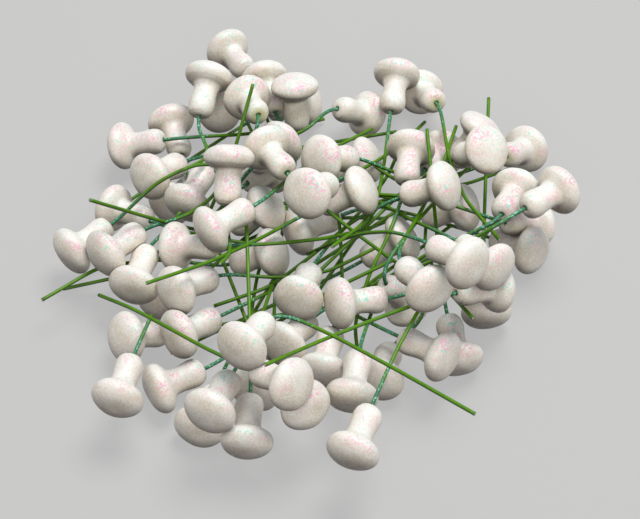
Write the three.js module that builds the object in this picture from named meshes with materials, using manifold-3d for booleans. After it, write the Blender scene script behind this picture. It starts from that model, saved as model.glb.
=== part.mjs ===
// A loose bunch of craft mushroom picks, as tipped out in a heap: small foam mushrooms, each on
// the end of its own green coated wire. The mushrooms lie round the outside, caps out, and their
// wires run in over each other and stick out between the mushrooms on the far side.
// Millimetres, +Z up, lying on Z = 0 with the middle of its box over the origin.
import * as THREE from "three";
import { mergeVertices } from "three/addons/utils/BufferGeometryUtils.js";
import Module from "manifold-3d";

const wasm = await Module();
wasm.setup();

// One foam mushroom: its outline as [radius, height], from the point of the hole that its wire
// made in the foot, out over the stem and round the cap. Heights run from the cap's widest ring.
const FOOT_HEIGHT = -17.8;
const MUSHROOM_OUTLINE = [
  [0, -8.8],
  [1.7, FOOT_HEIGHT],
  [3.6, -17.2],
  [5.1, -14.6],
  [4.6, -5],
  [7.65, -3],
  [9, 0],
  [7.1, 2.6],
  [3.4, 3.9],
  [0, 4.2],
];
const MUSHROOM_SIDES = 8;

// Its wire, cut to one length. The near end sits in the hole and leaves it straight.
const WIRE_RADIUS = 0.7;
const WIRE_LENGTH = 80;
const WIRE_SEAT = 2.5;
const WIRE_LEAD = 5.5;
const WIRE_STEPS = 5;
const WIRE_QUARTERS = 2;

// Balls that fill a mushroom, to feel when two of them touch: height, radius, distance from the
// axis and how many stand round it. The last three keep a way free for the start of the wire.
const BALLS = [
  { height: 0, radius: 3.4, out: 5.6, count: 8 },
  { height: -1.4, radius: 5.5, out: 0, count: 1 },
  { height: -6.2, radius: 4.9, out: 0, count: 1 },
  { height: -9.4, radius: 4.9, out: 0, count: 1 },
  { height: -12.6, radius: 5.1, out: 0, count: 1 },
  { height: -19.4, radius: 1.4, out: 0, count: 1 },
  { height: -22.2, radius: 1.4, out: 0, count: 1 },
  { height: -25, radius: 1.4, out: 0, count: 1 },
];
const START_OF_WIRE = 25;
const MUSHROOM_REACH = 28;

// How the pieces lie: the gap between them, how deep foam gives where one mushroom leans on
// another or on the table, and how near two wires come where they rest on each other
const CLEARANCE = 0.4;
const PRESS = 1.8;
const LEAST_PRESS = 0.9;
const MOST_PRESSED = 3;
const PRESSED_FLAT = 0.35;
const WIRE_CLEARANCE = 0.5;
const TABLE_GAP = 0.15;
const WIRE_BITE = 0.8;

// A wire's tries at a way through the heap: the heights of its end, how stiffly it leaves, swings
// aside and humps, and the shares of its length. Costs are in mm of missing length: for lying
// loose, for a hidden end that shows or the reverse, for running straight on or not to its tip,
// and for each point of it in front of a mushroom, which is likelier where its tip shows.
const LOWEST_END = 2;
const HIGHEST_END = 50;
const HEIGHT_STEP = 2;
const STIFFNESSES = [0.35, 0.2, 0.08];
const SWINGS = [0, 6, -6, 12, -12, 18, -18];
const HUMPS = [0, 8, -8, 16];
const SHARES = [1, 0.85, 0.7, 0.55, 0.4, 0.25];
const POINTS_A_STEP = 8;
const LOOSE_COST = 40;
const SIGHT_COST = 18;
const STRAY_COST = 40;
const MISPLACED_COST = 120;
const COVER_COST = 6;
const TIP_COVER_COST = 2;

// The view down on the heap in which the places below were read: the eye looks along +Y and
// down at a point in the heap, and its picture is FRAME pixels in size.
const VIEW_TARGET = new THREE.Vector3(3.38, -14.46, 20);
const VIEW_ELEVATION = THREE.MathUtils.degToRad(55);
const VIEW_DISTANCE = 590;
const FRAME = { width: 640, height: 519, focal: 1678 };

// A mushroom's ends were read at their outlines, so it looks this long when it lies square on
const SEEN_LENGTH = 16;

// Every pick, in the order in which they are laid, lowest first. ring is the middle of the cap's
// widest ring and foot the end of the stem, in pixels of that view; near says which of the two is
// nearer the eye. tip is where the wire's cut end shows. Where it is hidden in the heap, way is a
// place that the wire runs towards.
const PICKS = [
  { ring: [266, 208], foot: [234, 228], near: "ring", tip: [90, 200] },
  { ring: [298, 232], foot: [338, 216], near: "ring", tip: [428, 173] },
  { ring: [360, 190], foot: [322, 206], near: "ring", way: [180, 262] },
  { ring: [366, 160], foot: [328, 174], near: "ring", way: [220, 262] },
  { ring: [162, 300], foot: [178, 272], near: "ring", tip: [253, 84] },
  { ring: [256, 388], foot: [272, 360], near: "ring", way: [372, 215] },
  { ring: [486, 312], foot: [484, 272], near: "ring", tip: [489, 85] },
  { ring: [496, 287], foot: [457, 293], near: "foot", tip: [263, 366] },
  { ring: [408, 304], foot: [386, 284], near: "foot", tip: [512, 117] },
  { ring: [428, 288], foot: [404, 266], near: "ring", tip: [459, 117] },
  { ring: [272, 170], foot: [248, 183], near: "foot", tip: [63, 289] },
  { ring: [281, 143], foot: [254, 166], near: "foot", way: [200, 230] },
  { ring: [306, 100], foot: [270, 112], near: "ring", way: [150, 190] },
  { ring: [443, 152], foot: [425, 170], near: "foot", way: [300, 290] },
  { ring: [200, 425], foot: [214, 392], near: "ring", way: [300, 230] },
  { ring: [304, 404], foot: [282, 384], near: "ring", way: [275, 200] },
  { ring: [284, 344], foot: [310, 320], near: "ring", tip: [538, 197] },
  { ring: [379, 378], foot: [391, 349], near: "ring", way: [440, 180] },
  { ring: [170, 202], foot: [196, 182], near: "ring", way: [360, 140] },
  { ring: [134, 284], foot: [148, 250], near: "ring", way: [240, 130] },
  { ring: [218, 110], foot: [232, 96], near: "ring", way: [300, 190] },
  { ring: [171, 121], foot: [181, 155], near: "foot", way: [250, 330] },
  { ring: [113, 208], foot: [150, 221], near: "foot", way: [330, 262] },
  { ring: [128, 337], foot: [164, 333], near: "ring", way: [370, 300] },
  { ring: [227, 49], foot: [247, 72], near: "foot", tip: [415, 169] },
  { ring: [123, 146], foot: [163, 140], near: "foot", tip: [324, 119] },
  { ring: [73, 250], foot: [108, 227], near: "ring", way: [270, 150] },
  { ring: [118, 396], foot: [132, 360], near: "ring", way: [195, 215] },
  { ring: [160, 388], foot: [202, 370], near: "ring", way: [330, 290] },
  { ring: [247, 440], foot: [250, 398], near: "ring", way: [246, 205] },
  { ring: [176, 247], foot: [216, 246], near: "foot", way: [400, 215] },
  { ring: [180, 334], foot: [216, 318], near: "ring", way: [355, 235] },
  { ring: [323, 370], foot: [332, 332], near: "ring", tip: [452, 225] },
  { ring: [341, 303], foot: [384, 299], near: "ring", tip: [527, 186] },
  { ring: [463, 208], foot: [425, 217], near: "ring", way: [240, 250] },
  { ring: [492, 266], foot: [460, 244], near: "ring", way: [330, 170] },
  { ring: [535, 225], foot: [505, 222], near: "foot", way: [310, 215] },
  { ring: [516, 190], foot: [502, 214], near: "foot", way: [395, 300] },
  { ring: [526, 149], foot: [506, 157], near: "foot", way: [370, 212] },
  { ring: [480, 130], foot: [455, 163], near: "ring", tip: [475, 344] },
  { ring: [421, 92], foot: [436, 103], near: "foot", tip: [510, 268] },
  { ring: [367, 114], foot: [338, 109], near: "foot", way: [250, 135] },
  { ring: [264, 78], foot: [275, 112], near: "foot", way: [340, 290] },
  { ring: [247, 98], foot: [258, 115], near: "foot", way: [185, 255] },
  { ring: [322, 160], foot: [352, 158], near: "ring", way: [470, 180] },
  { ring: [411, 148], foot: [406, 182], near: "foot", way: [375, 330] },
  { ring: [458, 358], foot: [448, 318], near: "ring", tip: [427, 129] },
  { ring: [266, 148], foot: [286, 172], near: "foot", tip: [450, 296] },
  { ring: [151, 176], foot: [181, 163], near: "ring", tip: [331, 146] },
  { ring: [209, 77], foot: [199, 115], near: "foot", way: [160, 240] },
  { ring: [295, 88], foot: [297, 127], near: "ring", tip: [272, 334] },
  { ring: [397, 74], foot: [391, 111], near: "foot", tip: [318, 285] },
  { ring: [559, 190], foot: [526, 208], near: "foot", way: [400, 285] },
  { ring: [187, 202], foot: [206, 170], near: "ring", way: [320, 190] },
  { ring: [229, 158], foot: [227, 204], near: "ring", tip: [207, 388] },
  { ring: [107, 253], foot: [140, 232], near: "ring", way: [283, 112] },
  { ring: [178, 290], foot: [213, 277], near: "ring", tip: [377, 247] },
  { ring: [211, 409], foot: [230, 378], near: "ring", way: [300, 215] },
  { ring: [290, 384], foot: [256, 371], near: "ring", tip: [99, 295] },
  { ring: [243, 345], foot: [266, 321], near: "ring", tip: [475, 414] },
  { ring: [402, 238], foot: [364, 260], near: "ring", way: [220, 330] },
  { ring: [442, 186], foot: [405, 196], near: "ring", way: [245, 293] },
  { ring: [465, 262], foot: [434, 246], near: "ring", way: [300, 262] },
  { ring: [530, 250], foot: [494, 239], near: "ring", way: [300, 195] },
  { ring: [485, 150], foot: [460, 156], near: "ring", way: [303, 180] },
  { ring: [308, 193], foot: [329, 184], near: "ring", tip: [425, 122] },
  { ring: [272, 253], foot: [233, 264], near: "ring", tip: [42, 300] },
  { ring: [299, 297], foot: [311, 270], near: "ring", way: [372, 185] },
  { ring: [352, 394], foot: [359, 354], near: "ring", way: [400, 215] },
  { ring: [354, 449], foot: [370, 410], near: "ring", way: [485, 225] },
  { ring: [441, 356], foot: [402, 338], near: "ring", way: [270, 275] },
  { ring: [212, 229], foot: [250, 208], near: "ring", tip: [372, 129] },
];

const FOAM = new THREE.MeshStandardMaterial({ color: 0xe6ddd0, roughness: 0.6, metalness: 0 });
const COATED_WIRE = new THREE.MeshStandardMaterial({
  color: 0x3f7d22, roughness: 0.45, metalness: 0.1,
});

const FORWARD = new THREE.Vector3(0, Math.cos(VIEW_ELEVATION), -Math.sin(VIEW_ELEVATION));
const UPWARD = new THREE.Vector3(0, Math.sin(VIEW_ELEVATION), Math.cos(VIEW_ELEVATION));
const EYE = VIEW_TARGET.clone().addScaledVector(FORWARD, -VIEW_DISTANCE);

// The line of sight through a pixel, as the way it goes for each mm of depth
function sight([across, down]) {
  const line = FORWARD.clone();
  line.x += (across - FRAME.width / 2) / FRAME.focal;
  return line.addScaledVector(UPWARD, (FRAME.height / 2 - down) / FRAME.focal);
}

function pointOnSight(line, depth) {
  return EYE.clone().addScaledVector(line, depth);
}

function depthAtHeight(line, height) {
  return (height - EYE.z) / line.z;
}

// A turn that takes the lathe's +Y to a mushroom's axis, with a column of corners straight below
function mushroomTurn(axis) {
  const side = new THREE.Vector3(0, 0, 1).cross(axis).normalize();
  const below = new THREE.Vector3().crossVectors(side, axis).normalize();
  return new THREE.Matrix4().makeBasis(side, axis, below);
}

function ballsOf(ring, axis) {
  const turn = mushroomTurn(axis);
  const balls = [];
  for (const { height, radius, out, count } of BALLS) {
    for (let k = 0; k < count; k += 1) {
      const angle = (2 * Math.PI * k) / count;
      const centre = new THREE.Vector3(out * Math.sin(angle), height, out * Math.cos(angle));
      centre.applyMatrix4(turn).add(ring);
      balls.push({ centre, radius, wire: height < FOOT_HEIGHT });
    }
  }
  return balls;
}

// How far below its ring's middle a leaning mushroom, or the start of its wire, reaches
function reachBelow(axis) {
  const level = Math.sqrt(1 - axis.z * axis.z);
  const lowest = MUSHROOM_OUTLINE.map(([radius, height]) => height * axis.z - radius * level);
  return Math.min(Math.min(...lowest) + PRESSED_FLAT, -START_OF_WIRE * axis.z - 2 * WIRE_RADIUS);
}

// The ring's middle and the axis of a mushroom that looks as the list says, in the middle of the
// heap. The length that the view doesn't show is how far it leans towards or away from the eye.
function leaningMushroom(pick) {
  const ringSight = sight(pick.ring);
  const footSight = sight(pick.foot);
  const middle = ringSight.clone().add(footSight).divideScalar(2);
  const depth = depthAtHeight(middle, VIEW_TARGET.z);
  const across = ringSight.sub(footSight).multiplyScalar(depth);
  const hidden = Math.sqrt(Math.max(0, SEEN_LENGTH * SEEN_LENGTH - across.lengthSq()));
  const toEye = middle.clone().normalize().negate();
  const axis = across.addScaledVector(toEye, pick.near === "ring" ? hidden : -hidden).normalize();
  const ring = pointOnSight(middle, depth).addScaledVector(axis, -FOOT_HEIGHT / 2);
  return { ring, axis, toEye };
}

// The stretches of a slide along toEye that a mushroom already laid blocks. With a gap below
// zero foam may press into foam, but nothing presses on the start of a wire.
function blockedStretches(balls, laid, toEye, gap) {
  const stretches = [];
  for (const ball of balls) {
    for (const other of laid.balls) {
      const foam = !ball.wire && !other.wire;
      const between = ball.centre.clone().sub(other.centre);
      const reach = ball.radius + other.radius + (foam ? gap : CLEARANCE);
      const middle = -between.dot(toEye);
      const square = middle * middle - between.lengthSq() + reach * reach;
      if (square > 0) {
        const half = Math.sqrt(square);
        stretches.push({ from: middle - half, to: middle + half, laid, foam });
      }
    }
  }
  return stretches;
}

// The shortest slide up from the table that no stretch blocks, and the stretch that it ends on
function shortestSlide(stretches) {
  let slide = 0;
  let last = null;
  for (const stretch of stretches.sort((a, b) => a.from - b.from)) {
    if (stretch.from < slide && stretch.to > slide) {
      slide = stretch.to;
      last = stretch;
    }
  }
  return { slide, last };
}

// Each mushroom slides up its line of sight from the table until it is clear of those laid before
// it. Where its foam then leans on another's, it is pressed into that one as far as the rest
// leave room, and the two or three of them hold together as one clump.
function layMushrooms() {
  const laid = [];
  for (const pick of PICKS) {
    const { ring, axis, toEye } = leaningMushroom(pick);
    ring.addScaledVector(toEye, (-reachBelow(axis) - ring.z) / toEye.z);
    const balls = ballsOf(ring, axis);
    const blocked = laid.map((other) => blockedStretches(balls, other, toEye, CLEARANCE));
    let { slide, last } = shortestSlide(blocked.flat());
    const under = last?.laid;
    let clump = [];
    if (under && under.clump.length < MOST_PRESSED) {
      const pressed = laid.map((other, k) => (
        other === under ? blockedStretches(balls, under, toEye, -PRESS) : blocked[k]
      ));
      const rest = shortestSlide(pressed.flat()).slide;
      const bites = blockedStretches(balls, under, toEye, -LEAST_PRESS);
      if (bites.some((bite) => bite.foam && bite.from < rest && bite.to > rest)) {
        slide = rest;
        clump = under.clump;
      }
    }
    ring.addScaledVector(toEye, slide);
    const mushroom = { number: laid.length + 1, pick, ring, axis, clump };
    mushroom.balls = ballsOf(ring, axis);
    mushroom.seat = ring.clone().addScaledVector(axis, FOOT_HEIGHT + WIRE_SEAT);
    clump.push(mushroom);
    laid.push(mushroom);
  }
  return laid;
}

// A wire's path: straight out of the foot, then on to its end in one easy curve. It has a corner
// at the end of the straight lead and at even steps of the curve, which lie closer near the foot.
class WirePath extends THREE.Curve {
  constructor(seat, curve) {
    super();
    this.seat = seat;
    this.curve = curve;
  }

  getPoint(t) {
    const step = t * WIRE_STEPS;
    if (step < 1) {
      return this.seat.clone().lerp(this.curve.v0, step);
    }
    return this.curve.getPoint((step - 1) / (WIRE_STEPS - 1));
  }

  getUtoTmapping(u) {
    return u;
  }
}

function wirePath({ seat, axis }, end, { stiffness, swing, hump }) {
  const lead = seat.clone().addScaledVector(axis, -WIRE_LEAD);
  const chord = end.clone().sub(lead);
  const straight = lead.clone().addScaledVector(axis, -stiffness * chord.length());
  const side = new THREE.Vector3(chord.y, -chord.x, 0).normalize();
  const bend = straight.clone().lerp(end, 0.5).addScaledVector(side, swing);
  bend.z += hump;
  return new WirePath(seat, new THREE.CubicBezierCurve3(lead, straight, bend, end));
}

// Points along a wire's straight stretches, close enough together to feel every ball
function pointsAlong(route) {
  const points = [];
  for (let k = 1; k < route.length; k += 1) {
    for (let part = 0; part < POINTS_A_STEP; part += 1) {
      points.push(route[k - 1].clone().lerp(route[k], part / POINTS_A_STEP));
    }
  }
  return [...points, route.at(-1)];
}

// Whether a wire stays above the table and clear of every mushroom, past its lead out of its own
function isClear(route, mushroom, mushrooms) {
  const points = pointsAlong(route);
  if (points.some((point) => point.z < WIRE_RADIUS + TABLE_GAP)) {
    return false;
  }
  const room = WIRE_RADIUS + WIRE_CLEARANCE;
  for (const other of mushrooms) {
    const own = other === mushroom;
    const felt = own ? points.slice(POINTS_A_STEP) : points;
    const balls = own ? other.balls.filter((ball) => !ball.wire) : other.balls;
    for (const point of felt) {
      const near = point.distanceTo(other.ring) < MUSHROOM_REACH;
      if (near && balls.some((ball) => point.distanceTo(ball.centre) < ball.radius + room)) {
        return false;
      }
    }
  }
  return true;
}

// Where in the picture a point shows, and how deep it lies behind it
function seenAt(point) {
  const away = point.clone().sub(EYE);
  const depth = away.dot(FORWARD);
  return {
    across: FRAME.width / 2 + (away.x / depth) * FRAME.focal,
    down: FRAME.height / 2 - (away.dot(UPWARD) / depth) * FRAME.focal,
    depth,
  };
}

// The view's picture of the mushrooms: how deep the nearest one lies behind each of its pixels
function depthPicture(mushrooms) {
  const depths = new Float64Array(FRAME.width * FRAME.height).fill(Infinity);
  for (const { centre, radius } of mushrooms.flatMap((mushroom) => mushroom.balls)) {
    const { across, down, depth } = seenAt(centre);
    const away = centre.clone().sub(EYE);
    const reach = Math.ceil((radius / depth) * FRAME.focal) + 1;
    for (let row = Math.round(down) - reach; row <= Math.round(down) + reach; row += 1) {
      for (let k = Math.round(across) - reach; k <= Math.round(across) + reach; k += 1) {
        const line = sight([k, row]);
        const along = line.dot(away);
        const square = along * along - line.lengthSq() * (away.lengthSq() - radius * radius);
        if (square > 0 && k >= 0 && k < FRAME.width && row >= 0 && row < FRAME.height) {
          const pixel = row * FRAME.width + k;
          depths[pixel] = Math.min(depths[pixel], (along - Math.sqrt(square)) / line.lengthSq());
        }
      }
    }
  }
  return depths;
}

// How far a point lies in front of the nearest mushroom behind its pixel: below zero where a
// mushroom hides it, and endless where there is none
function inFront(point, depths) {
  const { across, down, depth } = seenAt(point);
  return (depths[Math.round(down) * FRAME.width + Math.round(across)] ?? Infinity) - depth;
}

// How near the stretch from a to b comes to the stretch from c to d
function stretchGap(a, b, c, d) {
  const first = b.clone().sub(a);
  const second = d.clone().sub(c);
  const between = a.clone().sub(c);
  const turned = first.dot(second);
  const spread = first.lengthSq() * second.lengthSq() - turned * turned;
  const across = turned * second.dot(between) - second.lengthSq() * first.dot(between);
  let s = spread > 0 ? THREE.MathUtils.clamp(across / spread, 0, 1) : 0;
  const along = (turned * s + second.dot(between)) / second.lengthSq();
  const t = THREE.MathUtils.clamp(along, 0, 1);
  s = THREE.MathUtils.clamp((turned * t - first.dot(between)) / first.lengthSq(), 0, 1);
  return a.clone().addScaledVector(first, s).distanceTo(c.clone().addScaledVector(second, t));
}

function restOnEachOther(route, other) {
  for (let k = 1; k < route.length; k += 1) {
    for (let m = 1; m < other.length; m += 1) {
      if (stretchGap(route[k - 1], route[k], other[m - 1], other[m]) < WIRE_BITE) {
        return true;
      }
    }
  }
  return false;
}

// Where a wire could end: on the sight line of its tip or way, or straight on from its stem, at
// any height in the heap. One whose end is hidden runs on to its full length.
function wireEnds({ seat, axis, pick }) {
  const line = sight(pick.tip ?? pick.way);
  const onward = seat.clone().addScaledVector(axis, -WIRE_LENGTH);
  const astray = pick.tip ? MISPLACED_COST : STRAY_COST;
  const ends = [];
  for (let height = LOWEST_END; height <= HIGHEST_END; height += HEIGHT_STEP) {
    const end = pointOnSight(line, depthAtHeight(line, height));
    const reach = end.distanceTo(seat);
    if (!pick.tip || reach > WIRE_LENGTH) {
      end.lerpVectors(seat, end, WIRE_LENGTH / reach).setZ(height);
    }
    ends.push({ end, stray: 0 }, { end: onward.clone().setZ(height), stray: astray });
  }
  return ends;
}

// Every way that a wire could take, the likeliest first
function wireTries(mushroom) {
  const { seat } = mushroom;
  const bends = STIFFNESSES.flatMap((stiffness) => SWINGS.flatMap((swing) => (
    HUMPS.map((hump) => ({ stiffness, swing, hump }))
  )));
  const tries = [];
  for (const share of SHARES) {
    for (const { end: whole, stray } of wireEnds(mushroom)) {
      const end = seat.clone().lerp(whole, share);
      const missing = Math.abs(seat.distanceTo(end) - WIRE_LENGTH) + stray;
      const misplaced = mushroom.pick.tip && share < 1 ? MISPLACED_COST : 0;
      for (const bend of bends) {
        const bent = Math.abs(bend.swing) + Math.abs(bend.hump);
        tries.push({ cost: missing + misplaced + bent, end, bend });
      }
    }
  }
  return tries.sort((a, b) => a.cost - b.cost);
}

// The wire that comes nearest to its full length with little bend, lies clear of the mushrooms,
// rests on another wire, passes in front of few mushrooms and shows its end only where it did
function layWire(mushroom, mushrooms, depths, tangle) {
  let best = null;
  for (const { cost, end, bend } of wireTries(mushroom)) {
    if (best && cost >= best.cost) {
      break;
    }
    const path = wirePath(mushroom, end, bend);
    const route = path.getSpacedPoints(WIRE_STEPS);
    if (isClear(route, mushroom, mushrooms)) {
      const fronts = pointsAlong(route).map((point) => inFront(point, depths));
      const covering = fronts.filter((front) => front > 0 && front < Infinity).length;
      const shows = fronts.at(-1) > 0;
      let whole = cost + (shows === Boolean(mushroom.pick.tip) ? 0 : SIGHT_COST);
      whole += (mushroom.pick.tip ? TIP_COVER_COST : COVER_COST) * covering;
      if (!tangle.some((other) => restOnEachOther(route, other.route))) {
        whole += LOOSE_COST;
      }
      if (!best || whole < best.cost) {
        best = { cost: whole, path, route };
      }
    }
  }
  return best;
}

// All the wires. Those laid first have few to rest on, so one that lies loose is laid again.
function layWires(mushrooms) {
  const depths = depthPicture(mushrooms);
  const wires = [];
  for (const mushroom of mushrooms) {
    wires.push(layWire(mushroom, mushrooms, depths, wires));
  }
  mushrooms.forEach((mushroom, k) => {
    const others = wires.filter((wire) => wire !== wires[k]);
    if (!others.some((other) => restOnEachOther(wires[k].route, other.route))) {
      wires[k] = layWire(mushroom, mushrooms, depths, others);
    }
  });
  return wires;
}

function closedSolid(geometry) {
  const bare = geometry.index ? geometry.toNonIndexed() : geometry;
  bare.deleteAttribute("normal");
  bare.deleteAttribute("uv");
  const merged = mergeVertices(bare, 1e-4);
  return new wasm.Manifold(new wasm.Mesh({
    numProp: 3,
    vertProperties: new Float32Array(merged.attributes.position.array),
    triVerts: new Uint32Array(merged.index.array),
  }));
}

function meshOf(solid, material, name) {
  const made = solid.getMesh();
  const geometry = new THREE.BufferGeometry();
  geometry.setAttribute("position", new THREE.BufferAttribute(made.vertProperties, 3));
  geometry.setIndex(new THREE.BufferAttribute(made.triVerts, 1));
  geometry.computeVertexNormals();
  const mesh = new THREE.Mesh(geometry, material);
  mesh.name = name;
  return mesh;
}

// What the table takes off the foam that is pressed down on it
function tableSolid() {
  const size = 2 * WIRE_LENGTH + VIEW_DISTANCE;
  const slab = new THREE.BoxGeometry(size, size, size);
  slab.translate(0, 0, -size / 2);
  return closedSolid(slab);
}

function mushroomSolid({ ring, axis }) {
  const outline = MUSHROOM_OUTLINE.map(([radius, height]) => new THREE.Vector2(radius, height));
  const lathe = new THREE.LatheGeometry(outline, MUSHROOM_SIDES);
  lathe.applyMatrix4(mushroomTurn(axis).setPosition(ring));
  return closedSolid(lathe);
}

function wireSolid({ path }) {
  const section = new THREE.Shape();
  section.absarc(0, 0, WIRE_RADIUS, 0, 2 * Math.PI);
  return closedSolid(new THREE.ExtrudeGeometry(section, {
    steps: WIRE_STEPS,
    extrudePath: path,
    curveSegments: WIRE_QUARTERS,
  }));
}

function joined(solids) {
  return solids.reduce((whole, solid) => whole.add(solid));
}

// One node for each mushroom, or for each clump of mushrooms pressed together
function addMushrooms(bunch, mushrooms) {
  const table = tableSolid();
  for (const clump of new Set(mushrooms.map((mushroom) => mushroom.clump))) {
    const numbers = clump.map(({ number }) => String(number).padStart(2, "0")).join("_");
    const solid = joined(clump.map(mushroomSolid)).subtract(table);
    bunch.add(meshOf(solid, FOAM, `mushroom${clump.length > 1 ? "s" : ""}_${numbers}`));
  }
}

// One node for the tangle of wires, and one for each few that rest on no others
function addWires(bunch, wires) {
  const bodies = joined(wires.map(wireSolid)).decompose();
  bodies.sort((a, b) => b.numTri() - a.numTri());
  bodies.forEach((body, k) => {
    bunch.add(meshOf(body, COATED_WIRE, k ? `wires_aside_${k}` : "wire_tangle"));
  });
}

const bunch = new THREE.Group();
const mushrooms = layMushrooms();
addMushrooms(bunch, mushrooms);
addWires(bunch, layWires(mushrooms));

export default bunch;
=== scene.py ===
# A loose heap of craft mushroom picks on a pale surface: foam mushrooms under a coat of pearl
# glitter, each on its own green coated wire. Metres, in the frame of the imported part.
import math

import bpy
import numpy as np
from mathutils import Matrix, Vector


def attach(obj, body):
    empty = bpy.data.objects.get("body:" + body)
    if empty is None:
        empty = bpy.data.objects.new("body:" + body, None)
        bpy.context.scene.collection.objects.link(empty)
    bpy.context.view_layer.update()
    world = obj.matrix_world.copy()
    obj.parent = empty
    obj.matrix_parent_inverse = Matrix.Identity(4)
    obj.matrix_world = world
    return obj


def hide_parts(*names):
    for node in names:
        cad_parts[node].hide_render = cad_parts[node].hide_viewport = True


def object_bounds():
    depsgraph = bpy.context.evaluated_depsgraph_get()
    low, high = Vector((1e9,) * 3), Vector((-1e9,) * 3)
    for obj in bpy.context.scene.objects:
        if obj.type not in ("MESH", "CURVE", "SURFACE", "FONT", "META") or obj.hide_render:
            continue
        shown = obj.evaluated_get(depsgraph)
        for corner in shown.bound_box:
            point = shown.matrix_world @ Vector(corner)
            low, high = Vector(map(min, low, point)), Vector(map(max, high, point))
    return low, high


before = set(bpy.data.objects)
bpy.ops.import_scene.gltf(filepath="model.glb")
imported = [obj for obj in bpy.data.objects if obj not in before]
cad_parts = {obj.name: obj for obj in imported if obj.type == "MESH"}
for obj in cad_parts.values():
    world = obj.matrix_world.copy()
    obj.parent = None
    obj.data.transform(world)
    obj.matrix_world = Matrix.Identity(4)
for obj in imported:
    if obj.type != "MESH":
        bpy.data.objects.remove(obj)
part_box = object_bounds()


# Places in the heap. The picks were tipped out on the surface and lie as they fell. Each was
# found in one view down on the heap: the middle of its cap's widest ring, the end of its stem,
# which of the two is nearer the eye, and where its wire ends or runs to. Millimetres.

VIEW_TARGET = np.array((3.38, -14.46, 20.0))
VIEW_ELEVATION = math.radians(55)
VIEW_DISTANCE = 590
PICTURE_WIDTH, PICTURE_HEIGHT = 640, 519
FOCAL_PIXELS = 1678
FORWARD = np.array((0, math.cos(VIEW_ELEVATION), -math.sin(VIEW_ELEVATION)))
UPWARD = np.array((0, math.sin(VIEW_ELEVATION), math.cos(VIEW_ELEVATION)))
EYE = VIEW_TARGET - FORWARD * VIEW_DISTANCE

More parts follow.
